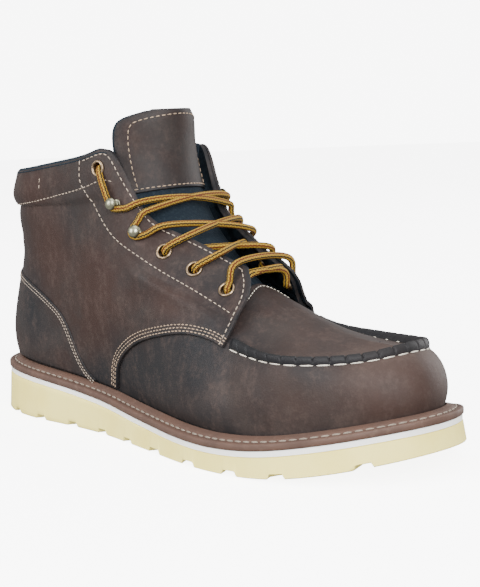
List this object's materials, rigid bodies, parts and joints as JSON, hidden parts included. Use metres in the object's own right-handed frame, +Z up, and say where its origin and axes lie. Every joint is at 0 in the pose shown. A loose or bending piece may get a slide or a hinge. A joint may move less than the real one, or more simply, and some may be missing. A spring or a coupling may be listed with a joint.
{
  "type": "work boot",
  "caption": "Ankle-high lace-up leather work boot for the right foot, with a moc toe, a padded collar, eyelets and lace hooks, on a welted flat wedge sole with a wavy tread.",
  "frame": {"origin": "on the floor under the middle of the boot's bounding box", "axes": "+X to the toe, +Y to the medial side, +Z up from the floor"},
  "size_m": [0.3144, 0.1134, 0.1731],
  "materials": {
    "outsole": "matt cream blown rubber with a fine grain",
    "midsole": "smooth white rubber strip",
    "welt": "reddish brown leather with a pale stitch row",
    "insole": "dark fabric",
    "leather": "oiled grey-brown leather, satin, darker in its folds",
    "tongue": "oiled grey-brown leather over dark textile",
    "eyelet": "antique brass",
    "hook": "pale antique nickel",
    "lace": "woven gold and brown round lace"
  },
  "bodies": {
    "root": {"outsole": "outsole", "midsole": "midsole", "welt": "welt", "insole": "insole", "upper": "leather", "quarter_lateral": "leather", "quarter_medial": "leather", "heel_counter": "leather", "moc_seam": "leather", "tongue": "tongue", "eyelet_lateral_1": "eyelet", "eyelet_lateral_2": "eyelet", "eyelet_lateral_3": "eyelet", "hook_lateral_4": "hook", "hook_lateral_5": "hook", "eyelet_lateral_6": "eyelet", "eyelet_medial_1": "eyelet", "eyelet_medial_2": "eyelet", "eyelet_medial_3": "eyelet", "hook_medial_4": "hook", "hook_medial_5": "hook", "eyelet_medial_6": "eyelet", "lace": "lace"}
  },
  "joints": []
}
